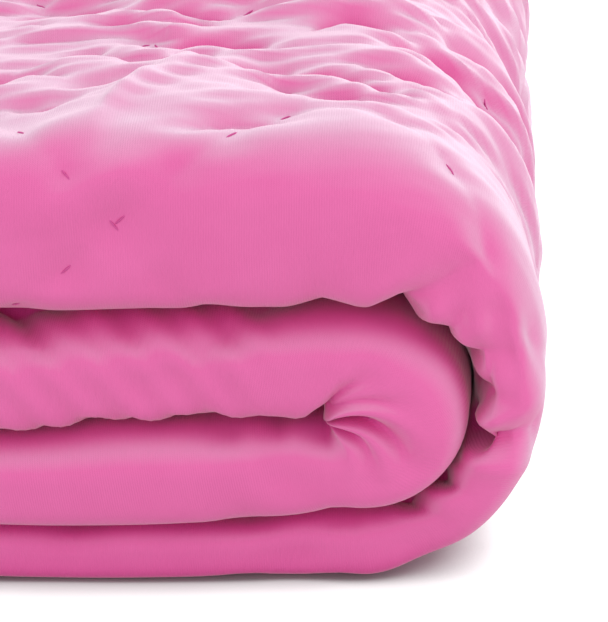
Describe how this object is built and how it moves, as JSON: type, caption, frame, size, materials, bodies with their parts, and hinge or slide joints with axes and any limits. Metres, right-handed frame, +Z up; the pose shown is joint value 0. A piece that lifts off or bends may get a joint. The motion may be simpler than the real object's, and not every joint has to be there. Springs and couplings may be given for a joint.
{
  "type": "folded baby quilt",
  "caption": "Soft padded baby quilt with a knife edge, folded in half and then twice more, its outer layers wrapped round the inner ones at one end.",
  "frame": {"origin": "on the surface the quilt lies on, under the middle of the folded quilt", "axes": "+Z up, -Y towards the front with the doubled fold, +X towards the end where the outer layers wrap round"},
  "size_m": [0.2776, 0.3816, 0.1665],
  "materials": {
    "quilt_fabric": "soft matte cotton jersey over a light filling"
  },
  "bodies": {
    "root": {"quilt": "quilt_fabric"}
  },
  "joints": []
}
